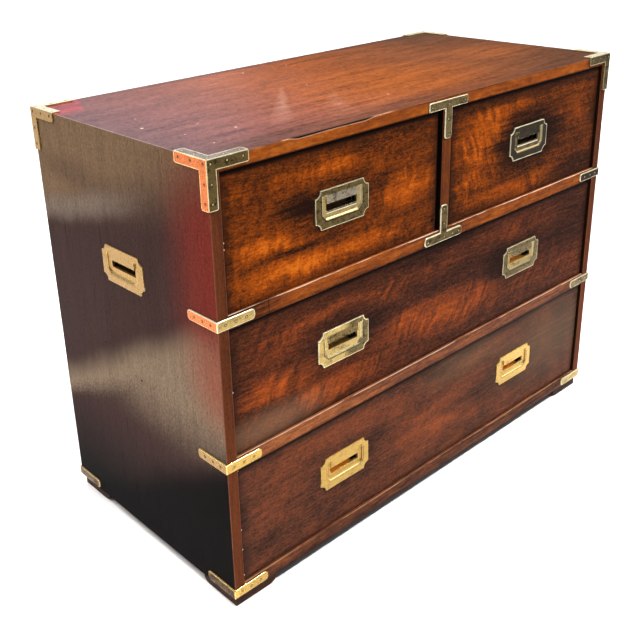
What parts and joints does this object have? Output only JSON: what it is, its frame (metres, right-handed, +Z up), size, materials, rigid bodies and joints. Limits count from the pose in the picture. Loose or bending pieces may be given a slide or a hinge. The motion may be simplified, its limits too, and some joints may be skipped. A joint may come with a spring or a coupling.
{
  "type": "campaign chest",
  "caption": "Low mahogany chest of drawers in the campaign style, short drawers over long ones, with let-in brass corner brackets, straps and flush finger pulls.",
  "frame": {"origin": "on the floor, under the middle of the case", "axes": "+X to the viewer's right along the front, +Y from the drawer fronts to the back, +Z up"},
  "size_m": [0.9184, 0.4364, 0.6832],
  "materials": {
    "mahogany": "polished",
    "flame_mahogany": "polished",
    "drawer_lining": "matt",
    "brass": "aged polish"
  },
  "bodies": {
    "case": {"top_panel": "mahogany", "side_panel_left": "mahogany", "side_panel_right": "mahogany", "back_panel": "mahogany", "rail_bottom": "mahogany", "rail_lower": "mahogany", "rail_upper": "mahogany", "bottom_board": "drawer_lining", "dust_board_lower": "drawer_lining", "dust_board_upper": "drawer_lining", "divider_post": "mahogany", "drawer_partition": "drawer_lining", "foot_front_left": "mahogany", "foot_back_left": "mahogany", "foot_front_right": "mahogany", "foot_back_right": "mahogany", "corner_bracket_front_left": "brass", "corner_bracket_back_left": "brass", "corner_bracket_front_right": "brass", "corner_bracket_back_right": "brass", "strap_upper_left": "brass", "strap_lower_left": "brass", "strap_bottom_left": "brass", "strap_back_left": "brass", "strap_upper_right": "brass", "strap_lower_right": "brass", "strap_bottom_right": "brass", "strap_back_right": "brass", "tee_strap_top": "brass", "tee_strap_rail": "brass", "side_pull_left": "brass", "side_pull_right": "brass"},
    "drawer_top_left": {"drawer_top_left_front": "flame_mahogany", "drawer_top_left_side_left": "drawer_lining", "drawer_top_left_side_right": "drawer_lining", "drawer_top_left_back": "drawer_lining", "drawer_top_left_bottom": "drawer_lining", "drawer_top_left_pull": "brass"},
    "drawer_top_right": {"drawer_top_right_front": "flame_mahogany", "drawer_top_right_side_left": "drawer_lining", "drawer_top_right_side_right": "drawer_lining", "drawer_top_right_back": "drawer_lining", "drawer_top_right_bottom": "drawer_lining", "drawer_top_right_pull": "brass"},
    "drawer_middle": {"drawer_middle_front": "flame_mahogany", "drawer_middle_side_left": "drawer_lining", "drawer_middle_side_right": "drawer_lining", "drawer_middle_back": "drawer_lining", "drawer_middle_bottom": "drawer_lining", "drawer_middle_pull_left": "brass", "drawer_middle_pull_right": "brass"},
    "drawer_bottom": {"drawer_bottom_front": "flame_mahogany", "drawer_bottom_side_left": "drawer_lining", "drawer_bottom_side_right": "drawer_lining", "drawer_bottom_back": "drawer_lining", "drawer_bottom_bottom": "drawer_lining", "drawer_bottom_pull_left": "brass", "drawer_bottom_pull_right": "brass"}
  },
  "joints": [
    {"name": "drawer_top_left_slide", "type": "slide", "parent": "case", "child": "drawer_top_left", "axis": [0, -1, 0], "range_m": [0, 0.3]},
    {"name": "drawer_top_right_slide", "type": "slide", "parent": "case", "child": "drawer_top_right", "axis": [0, -1, 0], "range_m": [0, 0.3]},
    {"name": "drawer_middle_slide", "type": "slide", "parent": "case", "child": "drawer_middle", "axis": [0, -1, 0], "range_m": [0, 0.3]},
    {"name": "drawer_bottom_slide", "type": "slide", "parent": "case", "child": "drawer_bottom", "axis": [0, -1, 0], "range_m": [0, 0.3]}
  ]
}
